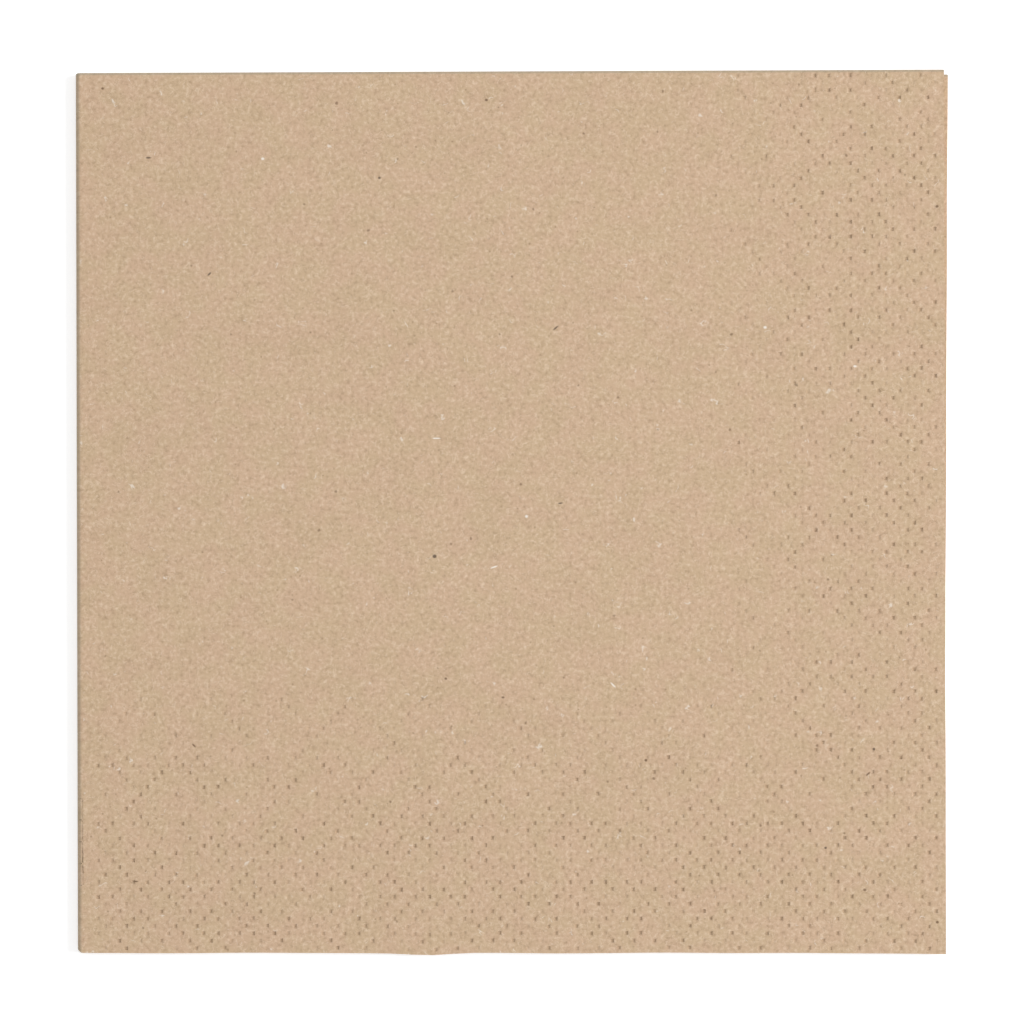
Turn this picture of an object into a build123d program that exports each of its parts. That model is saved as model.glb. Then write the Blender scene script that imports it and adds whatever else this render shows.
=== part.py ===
from build123d import *
from math import radians, sin
import os

# A square two-ply paper napkin folded twice into a flat quarter.
# The first fold runs along the far side (+Y). The second is the spine on the left (-X),
# which brings one folded half under the other. The cut edges lie to the right (+X) and
# to the front (-Y). Everything is one sheet, so the model is one solid.
# +Z is up, and the origin is the centre of the resting face.

# ---------------------------------------------------------------- driving sizes, mm
FOLDED_WIDTH = 120.0        # from the spine to the cut edge opposite
FOLDED_HEIGHT = 121.8       # from the far fold to the cut edge opposite
SHEET_THICKNESS = 0.22      # two plies of embossed tissue
PAIR_GAP = 0.12             # air between the two layers of one half
MIDDLE_GAP = 0.20           # air between the upper half and the lower half
HALF_LEAN = 0.18            # degrees that each half is turned off square, in opposite senses
LOWER_OVERHANG = 0.20       # how much further the lower half reaches past the spine
CUT_ALLOWANCE = 1.0         # spare length trimmed off each half at its cut edge

# ---------------------------------------------------------------- worked out from them
FOLD_OUTER_RADIUS = PAIR_GAP / 2 + SHEET_THICKNESS
FOLD_INNER_RADIUS = PAIR_GAP / 2
HALF_THICKNESS = 2 * FOLD_OUTER_RADIUS
HALF_MID_HEIGHT = MIDDLE_GAP / 2 + FOLD_OUTER_RADIUS
SPINE_OUTER_RADIUS = MIDDLE_GAP / 2 + HALF_THICKNESS
FRONT_Y = -FOLDED_HEIGHT / 2
FOLD_CENTRE_Y = FOLDED_HEIGHT / 2 - FOLD_OUTER_RADIUS
SPINE_AXIS_X = SPINE_OUTER_RADIUS - FOLDED_WIDTH / 2
UPPER_REACH = FOLDED_WIDTH - SPINE_OUTER_RADIUS
LOWER_REACH = UPPER_REACH + LOWER_OVERHANG


def layer_outline(radius):
    """Open path along both layers of a half: in along one, round the fold, back along the other."""
    low = HALF_MID_HEIGHT - radius
    high = HALF_MID_HEIGHT + radius
    to_fold = Line((FRONT_Y, low), (FOLD_CENTRE_Y, low))
    round_fold = ThreePointArc(
        (FOLD_CENTRE_Y, low),
        (FOLD_CENTRE_Y + radius, HALF_MID_HEIGHT),
        (FOLD_CENTRE_Y, high),
    )
    to_front = Line((FOLD_CENTRE_Y, high), (FRONT_Y, high))
    return to_fold, round_fold, to_front


def half_section():
    """Section of the upper half across its fold: one sheet doubled back on itself."""
    outside = layer_outline(FOLD_OUTER_RADIUS)
    inside = layer_outline(FOLD_INNER_RADIUS)
    lower_cut = Line(outside[0] @ 0, inside[0] @ 0)
    upper_cut = Line(outside[2] @ 1, inside[2] @ 1)
    section = make_face([*outside, *inside, lower_cut, upper_cut])
    return Plane.YZ.offset(SPINE_AXIS_X) * section


def half_sheet(section, reach, lean):
    """One half, drawn out from the spine along its fold and cut off square to it."""
    along_fold = Vector(1, 0, 0).rotate(Axis.Z, lean)
    spare = CUT_ALLOWANCE + FOLDED_HEIGHT * sin(radians(abs(lean)))
    blank = extrude(section, amount=reach + spare, dir=along_fold)
    cut = Plane(origin=(SPINE_AXIS_X + reach, 0, 0), z_dir=along_fold)
    return split(blank, bisect_by=cut, keep=Keep.BOTTOM)


def folded_sheet():
    """The whole napkin: upper half, the bend of the spine, and the lower half beneath."""
    upper_section = half_section()
    lower_section = mirror(upper_section, about=Plane.XY)
    spine_axis = Axis((SPINE_AXIS_X, 0, 0), (0, -1, 0))
    spine = revolve(upper_section, axis=spine_axis, revolution_arc=180)
    upper = half_sheet(upper_section, UPPER_REACH, HALF_LEAN)
    lower = half_sheet(lower_section, LOWER_REACH, -HALF_LEAN)
    return upper + spine + lower


def rest_on_origin(shape):
    """Set the shape down with the middle of its resting face at the origin."""
    box = shape.bounding_box()
    middle = box.center()
    return Pos(-middle.X, -middle.Y, -box.min.Z) * shape


napkin = rest_on_origin(folded_sheet())
os.makedirs("parts", exist_ok=True)
export_step(napkin, "parts/folded_sheet.step")

size = napkin.bounding_box().size
print(f"folded_sheet: {size.X:.2f} x {size.Y:.2f} x {size.Z:.2f} mm, {napkin.volume:.0f} mm3")
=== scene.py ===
# %% [markdown]
# # A paper napkin folded in quarters
# This file dresses one folded paper napkin. The solid model of it is loaded first as a fixed
# frame, and every size and place below is taken from that frame or worked out from a few
# sizes of the real sheet. Lengths are in metres, X runs from the spine to the cut edge, Y runs
# towards the far fold and Z points up from the table.

# %% Load the frame
import math
import random

import bmesh
import bpy
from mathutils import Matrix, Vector, noise


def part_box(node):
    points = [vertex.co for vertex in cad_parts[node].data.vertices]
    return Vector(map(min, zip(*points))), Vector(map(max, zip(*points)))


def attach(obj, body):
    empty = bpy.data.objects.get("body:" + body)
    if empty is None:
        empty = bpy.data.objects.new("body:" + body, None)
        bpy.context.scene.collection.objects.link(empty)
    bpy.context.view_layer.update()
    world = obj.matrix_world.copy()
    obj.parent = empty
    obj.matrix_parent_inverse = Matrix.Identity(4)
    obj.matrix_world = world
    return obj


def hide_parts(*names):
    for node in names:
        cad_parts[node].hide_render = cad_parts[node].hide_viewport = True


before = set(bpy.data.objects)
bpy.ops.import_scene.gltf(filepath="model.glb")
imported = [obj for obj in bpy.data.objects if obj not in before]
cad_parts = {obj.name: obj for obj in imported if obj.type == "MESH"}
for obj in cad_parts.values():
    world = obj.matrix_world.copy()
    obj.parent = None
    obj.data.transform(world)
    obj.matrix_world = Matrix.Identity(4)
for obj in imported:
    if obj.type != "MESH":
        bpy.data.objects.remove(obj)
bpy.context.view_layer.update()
low_corner, high_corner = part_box("folded_sheet")
print("solid napkin from", tuple(low_corner), "to", tuple(high_corner))

# %% [markdown]
# ## Sizes of the real sheet
# The napkin is one square of two-ply tissue, folded in half and then in half again. The
# first fold is the far edge. The second is the spine on the left, which is where all four
# layers bend together. Measured flat, the sheet runs from its middle, where the two folds
# cross, to a cut edge on each side. A point of it is named by u (across, zero at the spine)
# and v (along, zero at the far fold), so the top layer is the part with u over 0 and v under 0.

# %% Sheet sizes
MM = 0.001
SHEET_THICKNESS = 0.22 * MM
PAIR_GAP = 0.12 * MM
MIDDLE_GAP = 0.20 * MM
FOLDED_WIDTH = 120.0 * MM
FOLDED_HEIGHT = 121.8 * MM

fold_radius = (PAIR_GAP + SHEET_THICKNESS) / 2
spine_radius = (MIDDLE_GAP + PAIR_GAP) / 2 + SHEET_THICKNESS
spine_outer_radius = MIDDLE_GAP / 2 + PAIR_GAP + 2 * SHEET_THICKNESS
stack_height = 2 * spine_outer_radius
fold_bend = math.pi * fold_radius / 2
spine_bend = math.pi * spine_radius / 2
spine_axis_x = low_corner.x + spine_outer_radius
fold_axis_y = FOLDED_HEIGHT / 2 - fold_radius - SHEET_THICKNESS / 2
u_cut = FOLDED_WIDTH - spine_outer_radius + spine_bend
v_cut = FOLDED_HEIGHT - fold_radius - SHEET_THICKNESS / 2 + fold_bend
print("flat sheet", round(2 * u_cut, 4), "by", round(2 * v_cut, 4), "m, stack", round(stack_height, 5))

# %% [markdown]
# ## The embossed border
# Steel pins pressed rows of small pits into a border along the cut edges, which is what holds
# the two plies together. The pins stand on a fine square grid whose pattern repeats every ten
# steps. Next to the cut edge the grid is full. Further in it opens into two chains of
# diamonds, each with one pit in its middle. Writing the pattern as a rule on grid columns and
# rows keeps it exact, and no list of places is needed.

# %% Grid of pins
CUT_COLUMN = 25.4
SPINE_COLUMN = -97.9
CUT_ROW = -2.7
FOLD_ROW = 117.75
REPEAT = 10
LAST_COLUMN = 24
FIRST_ROW = -2
column_pitch = u_cut / (CUT_COLUMN - SPINE_COLUMN)
row_pitch = v_cut / (FOLD_ROW - CUT_ROW)


def column_at(u):
    """Grid column of a point on the sheet, the same on both sides of the spine."""
    return SPINE_COLUMN + abs(u) / column_pitch


def row_at(v):
    """Grid row of a point on the sheet, the same on both sides of the far fold."""
    return FOLD_ROW - abs(v) / row_pitch


def u_of(column):
    """Place across the sheet of a grid column, on the side of the top layer."""
    return (column - SPINE_COLUMN) * column_pitch


def v_of(row):
    """Place along the sheet of a grid row, on the side of the top layer."""
    return (row - FOLD_ROW) * row_pitch


print("pins every", round(column_pitch / MM, 3), "by", round(row_pitch / MM, 3), "mm")

# %% Which pins there are
FULL = {0, 2, 5, 7}
EVEN_STEP = {1, 4, 8}
ODD_STEP = {3, 6, 9}
DIAMOND = 5
INNER_CHAIN = (8, 1)
OUTER_CHAIN = (0, 6)
FRONT_INNER_CHAIN = (6, 19)
FRONT_OUTER_CHAIN = (1, 27)
GRID_MARGIN = 3
GRID_COLUMN = INNER_CHAIN[0] + GRID_MARGIN
GRID_ROW = FRONT_INNER_CHAIN[1] - GRID_MARGIN
OUTER_STRENGTH = 0.6


def on_grid(column, row):
    """The full pattern of the border: three families of columns meet three of rows."""
    c, r = column % REPEAT, row % REPEAT
    both_full = c in FULL and r in FULL
    return both_full or (c in EVEN_STEP and r in ODD_STEP) or (c in ODD_STEP and r in EVEN_STEP)


def diamond_steps(across, along, phase):
    """Steps from the middle of the nearest diamond in a chain that repeats along one way."""
    nearest = (along - phase + DIAMOND) % REPEAT - DIAMOND
    return abs(across) + abs(nearest)


def side_steps(column, row, chain):
    """Steps from the nearest diamond of a chain that runs beside the right cut edge."""
    return diamond_steps(column - chain[0], row, chain[1])


def front_steps(column, row, chain):
    """Steps from the nearest diamond of a chain that runs along the front cut edge."""
    return diamond_steps(row - chain[1], column, chain[0])


def pin_strength(column, row):
    """How firmly a pin pressed the sheet at this grid point, 0 where there is no pin."""
    if not (SPINE_COLUMN < column <= LAST_COLUMN and FIRST_ROW <= row < FOLD_ROW):
        return 0.0
    if column >= GRID_COLUMN or row <= GRID_ROW:
        return 1.0 if on_grid(column, row) else 0.0
    beside = row > FRONT_INNER_CHAIN[1]
    in_front = column < INNER_CHAIN[0]
    inner = [side_steps(column, row, INNER_CHAIN)] if beside else []
    inner += [front_steps(column, row, FRONT_INNER_CHAIN)] if in_front else []
    if inner and (min(inner) == 0 or min(inner) == DIAMOND):
        return 1.0
    past_front = row > FRONT_OUTER_CHAIN[1] - 2
    past_side = column < OUTER_CHAIN[0] + 2
    outer = [side_steps(column, row, OUTER_CHAIN)] if past_front else []
    outer += [front_steps(column, row, FRONT_OUTER_CHAIN)] if past_side else []
    if outer and (min(outer) == 0 or min(outer) == DIAMOND):
        return OUTER_STRENGTH
    return 0.0


# %% [markdown]
# ## The flat sheet
# It is easiest to model a folded sheet flat and fold it afterwards, as the maker does. A grid
# is laid out with its lines on the grid of pins, three steps apart, and with closer lines
# where the two folds will be. Solidify gives it the thickness of the tissue. Only the border
# of the two outer quarters is cut into single steps, which keeps the mesh light.

# %% Grid lines
COARSE_STEPS = 3
SPINE_BEND_LINES = 6
FOLD_BEND_LINES = 4
SPINE_EASE = (1.5, 2.4)


def steps_between(first, last, size):
    """Evenly spaced grid places from first to last."""
    return [first + size * k for k in range(int(round((last - first) / size)) + 1)]


column_lines = steps_between(-95.5, 24.5, COARSE_STEPS) + [CUT_COLUMN]
row_lines = [CUT_ROW] + steps_between(-2.5, 117.5, COARSE_STEPS)
spine_lines = [spine_bend * k / SPINE_BEND_LINES for k in range(1, SPINE_BEND_LINES + 1)]
u_half = spine_lines + [spine_bend * ease for ease in SPINE_EASE] + [u_of(c) for c in column_lines]
fold_start = -v_of(row_lines[-1])
fold_lines = [fold_start * k / FOLD_BEND_LINES for k in range(1, FOLD_BEND_LINES)]
v_half = fold_lines + [-v_of(r) for r in reversed(row_lines)]
u_lines = [-u for u in reversed(u_half)] + [0.0] + u_half
v_lines = [-v for v in reversed(v_half)] + [0.0] + v_half
print(len(u_lines), "lines across and", len(v_lines), "along")

# %% Lay out the sheet and give it thickness
sheet = bmesh.new()
bmesh.ops.create_grid(sheet, x_segments=len(u_lines) - 1, y_segments=len(v_lines) - 1, size=1.0)
for vert in sheet.verts:
    column = round((vert.co.x + 1) / 2 * (len(u_lines) - 1))
    row = round((vert.co.y + 1) / 2 * (len(v_lines) - 1))
    vert.co = Vector((u_lines[column], v_lines[row], SHEET_THICKNESS / 2))
bmesh.ops.solidify(sheet, geom=sheet.faces[:], thickness=SHEET_THICKNESS)
bmesh.ops.recalc_face_normals(sheet, faces=sheet.faces[:])
heights = sorted({round(v.co.z / MM, 3) for v in sheet.verts})
print(len(sheet.faces), "faces, at heights", heights, "mm")

# %% [markdown]
# ## Pressing the pits
# Each pin leaves a small pit with sloping walls and a flat floor. Every grid cell that has a
# pin is inset twice, which makes the mouth and the floor, and the floor is pushed in. Pins
# wear and tissue gives unevenly, so a seeded random number sets how deep each pit is. Two
# attributes are stored for the material: the flat place of every point, and how hard it
# was pressed.

# %% Cut the border into single cells
FOLD_SIDE = -0.5 * MM
PIN_SEED = 41
random.seed(PIN_SEED)


def outer_face(face):
    """True on the outer side of the two quarters that stay outside when folded."""
    return face.normal.z > 0.5 and face.calc_center_median().y < FOLD_SIDE


def has_pin(face):
    """True if any grid point under this coarse cell carries a pin."""
    middle = face.calc_center_median()
    c, r = round(column_at(middle.x)), round(row_at(middle.y))
    return any(pin_strength(c + dc, r + dr) > 0 for dc in (-1, 0, 1) for dr in (-1, 0, 1))


sheet.normal_update()
border = [f for f in sheet.faces if outer_face(f) and has_pin(f)
          and round(f.calc_area() / (column_pitch * row_pitch)) == COARSE_STEPS ** 2]
in_border = set(border)
border_edges = [e for e in sheet.edges if in_border.intersection(e.link_faces)]
bmesh.ops.subdivide_edges(sheet, edges=border_edges, cuts=COARSE_STEPS - 1, use_grid_fill=True)
sheet.normal_update()
print(len(border), "coarse cells cut, now", len(sheet.faces), "faces")

# %% Press the pits
MOUTH_INSET = 0.20 * MM
FLOOR_INSET = 0.13 * MM
PIT_DEPTH = 0.13 * MM
SIDEWAYS = 0.07 * MM
WEAKEST, FIRMEST, DEEPEST = 0.25, 1.35, 1.1
SINGLE_CELL = 1.3

flat_place = sheet.verts.layers.float_vector.new("flat_place")
pressed = sheet.verts.layers.float.new("pressed")
cells = {}
for face in sheet.faces:
    middle = face.calc_center_median()
    c, r = round(column_at(middle.x)), round(row_at(middle.y))
    single = face.calc_area() < SINGLE_CELL * column_pitch * row_pitch and len(face.verts) == 4
    if outer_face(face) and single and pin_strength(c, r) > 0:
        cells[face] = pin_strength(c, r)
pits = sorted(cells, key=lambda f: (round(f.calc_center_median().x, 6), f.calc_center_median().y))
pit_force = [cells[f] * random.uniform(WEAKEST, FIRMEST) for f in pits]
bmesh.ops.inset_individual(sheet, faces=pits, thickness=MOUTH_INSET, use_even_offset=True)
bmesh.ops.inset_individual(sheet, faces=pits, thickness=FLOOR_INSET, use_even_offset=True)
for face, force in zip(pits, pit_force):
    shift = Vector((random.uniform(-SIDEWAYS, SIDEWAYS), random.uniform(-SIDEWAYS, SIDEWAYS), 0))
    for vert in face.verts:
        vert.co += shift
        vert.co.z -= PIT_DEPTH * min(force, DEEPEST)
        vert[pressed] = force
print(len(pits), "pits pressed on the two outer quarters")

# %% [markdown]
# ## Folding
# The sheet is folded by a rule, not by hand. A point goes round the far fold first, which
# gives its place along Y and how far it lies from the middle of the pair. It then goes round
# the spine, which gives X and Z. A real napkin is never quite square, so the halves lean
# apart by a fraction of a degree, the cut edges wander, the front corner of the spine is a
# little round, and the layers lie unevenly.

# %% The two folds
SPINE_LEAN = 0.0024
UPPER_LEAN = 0.0022
LOWER_LEAN = -0.0041
UPPER_RISE = 0.0040
LOWER_RISE = -0.0005
EDGE_BUMP = 0.32 * MM
BUMP_X = -11.5 * MM
BUMP_WIDTH = 4.0 * MM
CORNER_SWEEP = 0.35 * MM
EDGE_WANDER = 0.10 * MM
LOWER_OVERHANG = 0.30 * MM
CORNER_ROUND = 0.50 * MM
CORNER_REACH = 0.80 * MM
PUFF = 0.035 * MM
LOWER_PUFF = -0.4
RIPPLE_SHARE = 0.5
FRONT_WAVE = 14 * MM
CUT_WAVE = 16 * MM
PUFF_WAVE = 22 * MM
RIPPLE_WAVE = 6 * MM
FRONT_BANDS = 12
CUT_START, CUT_BANDS = 0.9, 10
SWEEP_START, SWEEP_BANDS, SWEEP_SHARE = 0.75, 4, 0.6
EASE_BANDS = 20
LAYER_STEP = 0.09 * MM
front_y = -FOLDED_HEIGHT / 2
half_width = FOLDED_WIDTH / 2


def round_far_fold(v, n):
    """Distance along Y and offset from the middle of the pair, for a point n off mid-sheet."""
    radius = fold_radius + n
    if abs(v) >= fold_bend:
        side = -1 if v > 0 else 1
        return fold_axis_y - (abs(v) - fold_bend), side * radius
    angle = v / fold_bend * math.pi / 2
    return fold_axis_y + radius * math.cos(angle), -radius * math.sin(angle)


def round_spine(u, offset):
    """Place along X and Z of a point that lies offset from the middle of the pair."""
    radius = spine_radius + offset
    if abs(u) >= spine_bend:
        side = 1 if u > 0 else -1
        return spine_axis_x + abs(u) - spine_bend, side * radius
    angle = u / spine_bend * math.pi / 2
    return spine_axis_x - radius * math.cos(angle), radius * math.sin(angle)


def soft(x, y, size, seed):
    """Smooth noise from -1 to 1 that changes over the given size."""
    return noise.noise(Vector((x / size, y / size, seed)))


def fold(place):
    """The folded place of one point of the flat sheet."""
    u, v, n = place
    y, offset = round_far_fold(v, n)
    x, z = round_spine(u, offset)
    reach = min(max((x - spine_axis_x) / FOLDED_WIDTH, 0), 1)
    depth = min(max((y - front_y) / FOLDED_HEIGHT, 0), 1)
    upper = u > 0
    layer = (0 if v < 0 else 1) + (0 if upper else 2)
    lean = SPINE_LEAN + ((UPPER_LEAN if upper else LOWER_LEAN) - SPINE_LEAN) * reach
    rise = (UPPER_RISE if upper else LOWER_RISE) * (x + half_width) / 2 / half_width
    rise = rise * FOLDED_WIDTH * depth - abs(UPPER_RISE) * half_width * depth
    near_front = max(0.0, 1 - depth * FRONT_BANDS) ** 2
    near_cut = max(0.0, (reach - CUT_START) * CUT_BANDS) ** 2
    bump = EDGE_BUMP * math.exp(-((x - BUMP_X) / BUMP_WIDTH) ** 2)
    sweep = CORNER_SWEEP * max(0.0, (x / half_width - SWEEP_START) * SWEEP_BANDS) ** 2
    wander = EDGE_WANDER * soft(x, 0, FRONT_WAVE, layer * 3.1)
    y_edge = -(bump + sweep * SWEEP_SHARE + wander) + LAYER_STEP * (layer % 3)
    x_edge = EDGE_WANDER * soft(0, y, CUT_WAVE, 9.0 + layer * 2.3) - LAYER_STEP * (layer % 2)
    ripple = RIPPLE_SHARE * soft(x, y, RIPPLE_WAVE, layer * 7.0)
    puff = PUFF * (soft(x, y, PUFF_WAVE, layer * 5.0) + ripple)
    flatness = min(1.0, reach * EASE_BANDS) * min(1.0, (1 - depth) * EASE_BANDS)
    from_spine = x - (spine_axis_x - spine_outer_radius)
    y_edge += CORNER_ROUND * max(0.0, 1 - from_spine / CORNER_REACH) ** 2
    x += -lean * y + x_edge * near_cut + (0.0 if upper else LOWER_OVERHANG * reach)
    y += rise + y_edge * near_front
    z += puff * flatness * (1 if upper else LOWER_PUFF) + spine_outer_radius
    return Vector((x, y, max(z, 0.0)))


for vert in sheet.verts:
    vert[flat_place] = vert.co
    vert.co = fold(vert.co)
bmesh.ops.recalc_face_normals(sheet, faces=sheet.faces[:])
print("folded, top at", round(max(v.co.z for v in sheet.verts) / MM, 3), "mm")

# %% [markdown]
# ## The finished piece
# The bmesh becomes one object. Its faces are shaded smooth so that the pits and folds look
# soft, while the cut rim is marked sharp, because a blade left it square.

# %% Make the napkin
SHARP_TURN = math.radians(55)
for face in sheet.faces:
    face.smooth = True
for edge in sheet.edges:
    turn = edge.calc_face_angle(0.0)
    edge.smooth = turn < SHARP_TURN or any(v[pressed] > 0 for v in edge.verts)
mesh = bpy.data.meshes.new("napkin_sheet")
sheet.to_mesh(mesh)
sheet.free()
napkin = bpy.data.objects.new("napkin_sheet", mesh)
bpy.context.scene.collection.objects.link(napkin)
mesh.calc_loop_triangles()
print(len(mesh.loop_triangles), "triangles")

# %% [markdown]
# ## Shader maths
# A material is a graph of nodes, and long graphs are hard to read. The small class below
# wraps a socket so that sums can be written as plain Python, and each sign adds the Math node
# that does it. Any other node comes from one method that takes its kind, settings and inputs.

# %% A socket that can be added and multiplied
class Signal:
    """A socket that takes part in sums."""

    def __init__(self, tree, socket):
        self.tree = tree
        self.socket = socket

    def maths(self, operation, first, second):
        node = self.tree.nodes.new("ShaderNodeMath")
        node.operation = operation
        for slot, value in zip(node.inputs, (first, second)):
            if isinstance(value, Signal):
                self.tree.links.new(value.socket, slot)
            else:
                slot.default_value = value
        return Signal(self.tree, node.outputs[0])

    def __add__(self, other):
        return self.maths("ADD", self, other)

    def __sub__(self, other):
        return self.maths("SUBTRACT", self, other)

    def __rsub__(self, other):
        return self.maths("SUBTRACT", other, self)

    def __mul__(self, other):
        return self.maths("MULTIPLY", self, other)

    def __abs__(self):
        return self.maths("ABSOLUTE", self, 0.0)

    __radd__ = __add__
    __rmul__ = __mul__


class Finish:
    """A material and the nodes that feed its shader."""

    def __init__(self, name):
        self.material = bpy.data.materials.new(name)
        self.material.use_nodes = True
        self.tree = self.material.node_tree
        self.shader = self.tree.nodes["Principled BSDF"]

    def node(self, kind, settings, output, **values):
        """Add a node, set it up, feed its sockets and return one of its outputs."""
        node = self.tree.nodes.new(kind)
        for name, value in settings.items():
            setattr(node, name, value)
        for name, value in values.items():
            key = int(name[1:]) if name[1:].isdigit() else name
            self.feed(node.inputs[key], value)
        return Signal(self.tree, node.outputs[output])

    def feed(self, slot, value):
        if isinstance(value, Signal):
            self.tree.links.new(value.socket, slot)
        else:
            slot.default_value = value

    def noise(self, place, scale, detail=2.0, distortion=0.0):
        return self.node("ShaderNodeTexNoise", {}, "Fac", Vector=place, Scale=scale,
                         Detail=detail, Distortion=distortion)

    def ramp(self, value, low, high):
        """0 below low, 1 above high and a soft step between."""
        return self.node("ShaderNodeMapRange", {"interpolation_type": "SMOOTHSTEP"}, "Result",
                         Value=value, i1=low, i2=high)

    def blend(self, factor, first, second):
        return self.node("ShaderNodeMix", {"data_type": "RGBA"}, 2, i0=factor, i6=first, i7=second)


# %% [markdown]
# ## Recycled tissue
# Unbleached tissue is tan, and close up it is a felt of short fibres, some pale and some
# dark, with a few brown specks of bark. Thin fibres come from the middle line of a noise
# pattern: where the noise is near a half, it draws long winding threads, and a second noise
# cuts them short. All of it is laid on the flat place of the sheet, so it runs round the folds.

# %% Colours of the tissue
TAN = (0.610, 0.438, 0.292, 1.0)
ROSY_TAN = (0.640, 0.437, 0.305, 1.0)
OLIVE_TAN = (0.585, 0.440, 0.272, 1.0)
PALE_FIBRE = (0.860, 0.690, 0.520, 1.0)
DARK_FIBRE = (0.330, 0.215, 0.130, 1.0)
BARK = (0.130, 0.070, 0.035, 1.0)
WHITE_FIBRE = (0.930, 0.880, 0.800, 1.0)
SPOT = (0.060, 0.045, 0.035, 1.0)
# Darker tan for the pit floors: partly the darker crushed tissue, partly painted shade in the pits.
CRUSHED_AND_SHADED_TAN = (0.400, 0.275, 0.175, 1.0)
# Grey painted onto the folds as shade, where the bent tissue faces away from the light.
FOLD_SHADE_GREY = (0.340, 0.315, 0.235, 1.0)

tissue = Finish("recycled_tissue")
place = tissue.node("ShaderNodeAttribute", {"attribute_name": "flat_place"}, "Vector")
force = tissue.node("ShaderNodeAttribute", {"attribute_name": "pressed"}, "Fac")


def moved(x, y):
    """The sheet's places shifted, so that two patterns of one size do not match."""
    return tissue.node("ShaderNodeVectorMath", {"operation": "ADD"}, 0, i0=place, i1=(x, y, 0.0))


def threads(shift, scale, width, cut_scale, keep):
    """Thin winding fibres: the middle line of one noise, cut short by another."""
    line = tissue.noise(moved(shift, -shift), scale, 1.0, 0.6)
    thin = 1 - tissue.ramp(abs(line - 0.5), 0.0, width)
    cut = tissue.noise(moved(-shift, shift), cut_scale, 1.0)
    return thin * tissue.ramp(cut, keep, keep + 0.06)


# %% Felt of fibres
MOTTLE_SCALE = 1900.0
CLOUD_SCALE = 150.0
HUE_SCALE = 240.0
MOTTLE_SHARE = 0.40
mottle = tissue.noise(place, MOTTLE_SCALE, 3.0)
cloud = tissue.noise(moved(0.3, 0.1), CLOUD_SCALE, 3.0)
hue = tissue.noise(moved(0.7, 0.2), HUE_SCALE, 2.0)
colour = tissue.blend(tissue.ramp(hue, 0.35, 0.65), ROSY_TAN, OLIVE_TAN)
colour = tissue.blend(0.60, colour, TAN)
colour = tissue.blend(tissue.ramp(mottle, 0.50, 0.78) * MOTTLE_SHARE, colour, PALE_FIBRE)
colour = tissue.blend(tissue.ramp(1 - mottle, 0.50, 0.78) * MOTTLE_SHARE, colour, DARK_FIBRE)
colour = tissue.blend(tissue.ramp(cloud, 0.40, 0.75) * 0.06, colour, DARK_FIBRE)
for shift, scale in ((1.3, 900.0), (2.1, 1200.0)):
    colour = tissue.blend(threads(shift, scale, 0.035, 1100.0, 0.50) * 0.30, colour, PALE_FIBRE)
for shift, scale in ((3.7, 950.0), (4.9, 1250.0)):
    colour = tissue.blend(threads(shift, scale, 0.035, 1000.0, 0.52) * 0.26, colour, DARK_FIBRE)
colour = tissue.blend(threads(5.3, 700.0, 0.030, 620.0, 0.66) * 0.50, colour, WHITE_FIBRE)

# %% Specks of bark
for shift, scale, size, tint, amount in ((6.1, 260.0, 0.045, BARK, 0.55),
                                         (7.7, 420.0, 0.055, DARK_FIBRE, 0.60)):
    wobble = tissue.noise(moved(shift, 0.0), 2400.0, 1.0)
    speck = tissue.node("ShaderNodeTexVoronoi", {}, "Distance", Vector=moved(shift, shift),
                        Scale=scale)
    near = 1 - tissue.ramp(speck + wobble * 0.10, size + 0.02, size + 0.07)
    colour = tissue.blend(near * amount, colour, tint)

# %% [markdown]
# A few specks are large enough to notice one by one. Each is an ellipse at its own place on
# the top quarter, in millimetres from the middle, with a length, a width and an angle.

# %% Specks that stand out
NOTED_SPECKS = (
    (-10.7, -6.1, 0.60, 0.55, 0, SPOT), (-18.2, 46.2, 0.42, 0.36, 0, SPOT),
    (6.1, 25.4, 1.0, 0.22, 40, SPOT), (-3.4, 56.9, 0.45, 0.40, 0, BARK),
    (58.8, 42.0, 0.45, 0.40, 0, BARK), (18.4, -34.3, 0.45, 0.40, 0, BARK),
    (-50.1, 49.1, 0.75, 0.25, 0, SPOT), (-41.7, 33.0, 0.70, 0.25, 45, SPOT),
    (-56.4, 58.7, 0.40, 0.35, 0, BARK), (-1.3, -25.6, 0.45, 0.32, 0, BARK),
    (-9.2, -23.0, 0.40, 0.35, 0, BARK), (6.7, 1.2, 0.70, 0.22, 10, SPOT),
    (49.9, -32.8, 0.40, 0.40, 0, SPOT), (49.1, -36.2, 0.80, 0.25, 40, BARK),
    (43.2, -46.4, 0.40, 0.35, 0, SPOT), (48.6, -52.2, 0.50, 0.40, 0, BARK),
    (58.6, -56.6, 0.45, 0.40, 0, BARK), (-44.0, -32.2, 0.75, 0.25, -45, BARK),
    (-52.1, -51.0, 0.80, 0.25, 0, BARK), (2.0, -0.6, 0.45, 0.45, 0, WHITE_FIBRE),
    (-2.5, -7.6, 1.1, 0.22, 20, WHITE_FIBRE), (13.9, -23.9, 1.0, 0.24, -45, WHITE_FIBRE),
    (-34.3, 48.9, 0.50, 0.40, 0, WHITE_FIBRE), (35.0, 25.4, 0.50, 0.40, 0, WHITE_FIBRE),
    (-10.4, 10.2, 1.2, 0.22, 0, WHITE_FIBRE), (47.4, 20.0, 0.50, 0.35, 0, WHITE_FIBRE),
)


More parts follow.
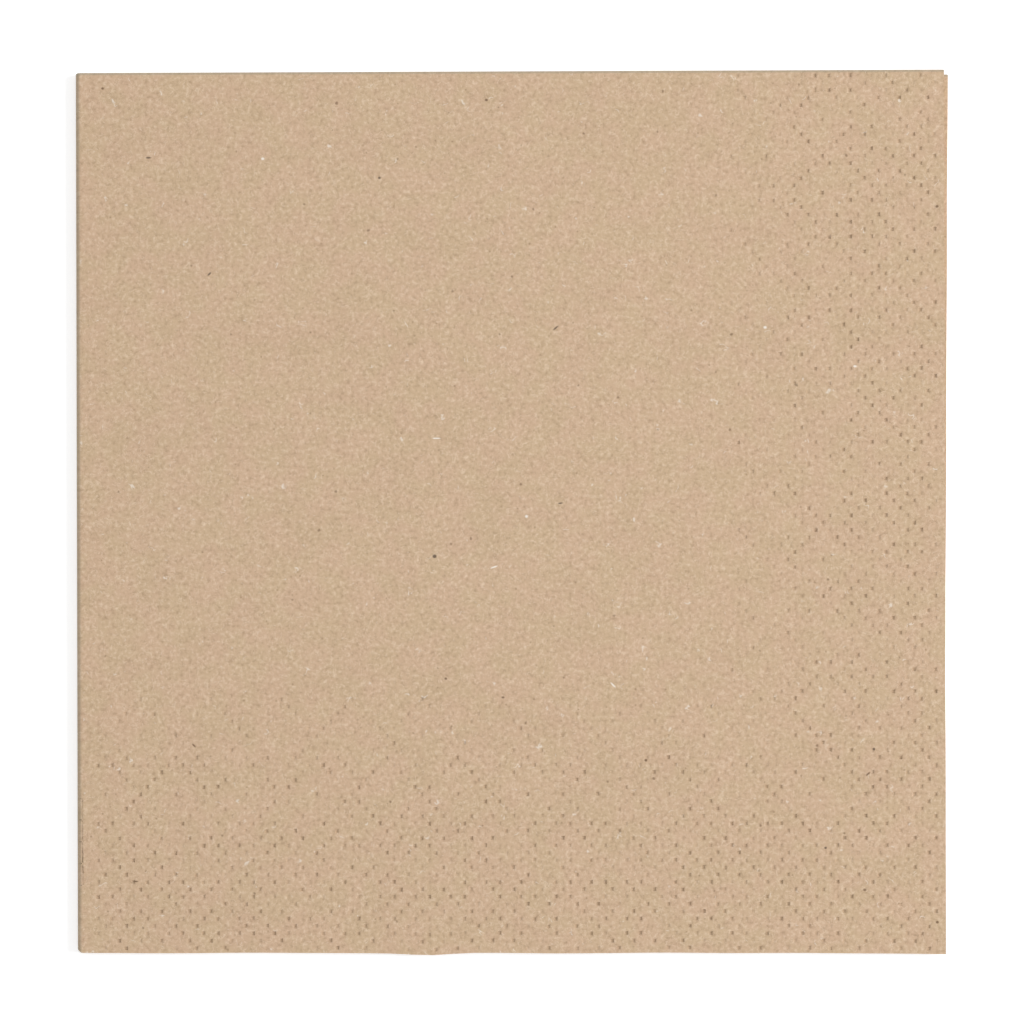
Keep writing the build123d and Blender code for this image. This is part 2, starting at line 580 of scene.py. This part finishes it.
def noted_speck(x, y, length, width, angle):
    """1 inside a small soft-edged ellipse at a place on the folded top, 0 outside."""
    u = spine_bend + x * MM - spine_axis_x
    v = -(fold_axis_y - y * MM + fold_bend)
    local = tissue.node("ShaderNodeMapping", {"vector_type": "TEXTURE"}, 0, Vector=place,
                        Location=(u, v, 0.0), Rotation=(0.0, 0.0, math.radians(angle)),
                        Scale=(length * MM / 2, width * MM / 2, 1.0))
    away = tissue.node("ShaderNodeVectorMath", {"operation": "LENGTH"}, 1, i0=local)
    return 1 - tissue.ramp(away, 0.55, 1.25)


for x, y, length, width, angle, tint in NOTED_SPECKS:
    colour = tissue.blend(noted_speck(x, y, length, width, angle) * 0.75, colour, tint)
print(len(NOTED_SPECKS), "specks placed one by one")

# %% [markdown]
# Where the tissue bends round the two folds it faces away from the light, and that shade is painted
# into the colour as a grey. Both folds sit where the flat place is zero, so a soft step on the
# distance from zero paints this shade on them.

# %% Painted shade on the folds
FOLD_SHADE_SHARE = {"spine": 0.34, "far": 0.50}
SPINE_SHADE_RIM = (0.40 * MM, 0.68 * MM)
FAR_FOLD_SHADE_RIM = (0.22 * MM, 0.45 * MM)
across = tissue.node("ShaderNodeSeparateXYZ", {}, 0, Vector=place)
along = tissue.node("ShaderNodeSeparateXYZ", {}, 1, Vector=place)
spine_shade = 1 - tissue.ramp(abs(across), *SPINE_SHADE_RIM)
far_fold_shade = 1 - tissue.ramp(abs(along), *FAR_FOLD_SHADE_RIM)
# Painted shade: grey on the spine and on the far fold, where the bend turns away from the light.
colour = tissue.blend(spine_shade * FOLD_SHADE_SHARE["spine"], colour, FOLD_SHADE_GREY)
colour = tissue.blend(far_fold_shade * FOLD_SHADE_SHARE["far"], colour, FOLD_SHADE_GREY)

# %% Pit floors painted darker, roughness and the fine relief of the fibres
# The pit floors are painted darker by how hard they were pressed: partly the darker crushed tissue,
# partly painted shade in the pits.
colour = tissue.blend(tissue.ramp(force, 0.0, 1.2) * 0.54, colour, CRUSHED_AND_SHADED_TAN)
FIBRE_RELIEF = 0.00003
tissue.feed(tissue.shader.inputs["Base Color"], colour)
tissue.feed(tissue.shader.inputs["Roughness"], 0.86 + mottle * 0.12)
tissue.shader.inputs["Specular IOR Level"].default_value = 0.2
tissue.shader.inputs["Sheen Weight"].default_value = 0.05
relief = mottle + tissue.noise(moved(8.0, 1.0), 900.0, 2.0) * 1.5
tissue.feed(tissue.shader.inputs["Normal"],
            tissue.node("ShaderNodeBump", {}, "Normal", Strength=0.8, Distance=FIBRE_RELIEF,
                        Height=relief))
napkin.data.materials.append(tissue.material)

# %% Tie the napkin to its solid
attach(napkin, "root")
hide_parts("folded_sheet")

# %% [markdown]
# ## Floor, lamps and camera
# The floor is white and wide. It adds a little light of its own only for the camera and for
# reflections, so it reads as white while the napkin still throws a soft shadow on it. The main
# lamp stands low on the right, which is what makes each pit show a bright and a dark side.

# %% White floor
FLOOR_SIZE = 2.0
FLOOR_DROP = 0.02 * MM
FLOOR_GLOW = 0.32
slab = bmesh.new()
bmesh.ops.create_grid(slab, x_segments=1, y_segments=1, size=FLOOR_SIZE)
bmesh.ops.translate(slab, verts=slab.verts[:], vec=(0.0, 0.0, -FLOOR_DROP))
floor_mesh = bpy.data.meshes.new("floor")
slab.to_mesh(floor_mesh)
slab.free()
floor = bpy.data.objects.new("floor", floor_mesh)
bpy.context.scene.collection.objects.link(floor)
chalk = Finish("white_floor")
chalk.shader.inputs["Base Color"].default_value = (0.96, 0.96, 0.96, 1.0)
chalk.shader.inputs["Roughness"].default_value = 1.0
chalk.shader.inputs["Specular IOR Level"].default_value = 0.0
rays = [chalk.node("ShaderNodeLightPath", {}, name)
        for name in ("Is Camera Ray", "Is Glossy Ray", "Is Transmission Ray")]
seen = rays[0] + rays[1] + rays[2]
chalk.feed(chalk.shader.inputs["Emission Color"], seen * FLOOR_GLOW)
chalk.shader.inputs["Emission Strength"].default_value = 1.0
floor_mesh.materials.append(chalk.material)

# %% World and lamps
SKY = 0.50
world = bpy.data.worlds.new("studio")
bpy.context.scene.world = world
world.use_nodes = True
sky = world.node_tree
sky_light = sky.nodes["Background"]
sky_light.inputs["Color"].default_value = (1.0, 1.0, 1.0, 1.0)
sky_light.inputs["Strength"].default_value = SKY
sky_white = sky.nodes.new("ShaderNodeBackground")
sky_white.inputs["Color"].default_value = (1.0, 1.0, 1.0, 1.0)
path = sky.nodes.new("ShaderNodeLightPath")
either = sky.nodes.new("ShaderNodeMixShader")
sky.links.new(path.outputs["Is Camera Ray"], either.inputs[0])
sky.links.new(sky_light.outputs[0], either.inputs[1])
sky.links.new(sky_white.outputs[0], either.inputs[2])
sky.links.new(either.outputs[0], sky.nodes["World Output"].inputs["Surface"])


def lamp(name, place, size, share):
    """An area lamp aimed at the napkin that adds this share of a plain white level."""
    distance = Vector(place).length
    slope = place[2] / distance
    light = bpy.data.lights.new(name, "AREA")
    light.size = size
    light.energy = share * math.pi ** 2 * distance ** 2 / slope
    holder = bpy.data.objects.new(name, light)
    holder.location = place
    holder.rotation_euler = Vector(place).to_track_quat("Z", "Y").to_euler()
    bpy.context.scene.collection.objects.link(holder)
    print(name, "gives", share, "of the light")


lamp("side_lamp", (1.30, 0.16, 0.66), 0.50, 0.33)
lamp("top_lamp", (0.00, 0.12, 1.20), 0.80, 0.20)

# %% Camera
LENS = 85.0
SENSOR = 36.0
VIEW_WIDTH = 0.1414
camera = bpy.data.objects.new("camera", bpy.data.cameras.new("camera"))
camera.data.lens = LENS
camera.data.sensor_width = SENSOR
camera.location = (0.0, 0.0, stack_height + VIEW_WIDTH * LENS / SENSOR)
bpy.context.scene.collection.objects.link(camera)
bpy.context.scene.camera = camera
bpy.context.scene.view_settings.view_transform = "Standard"
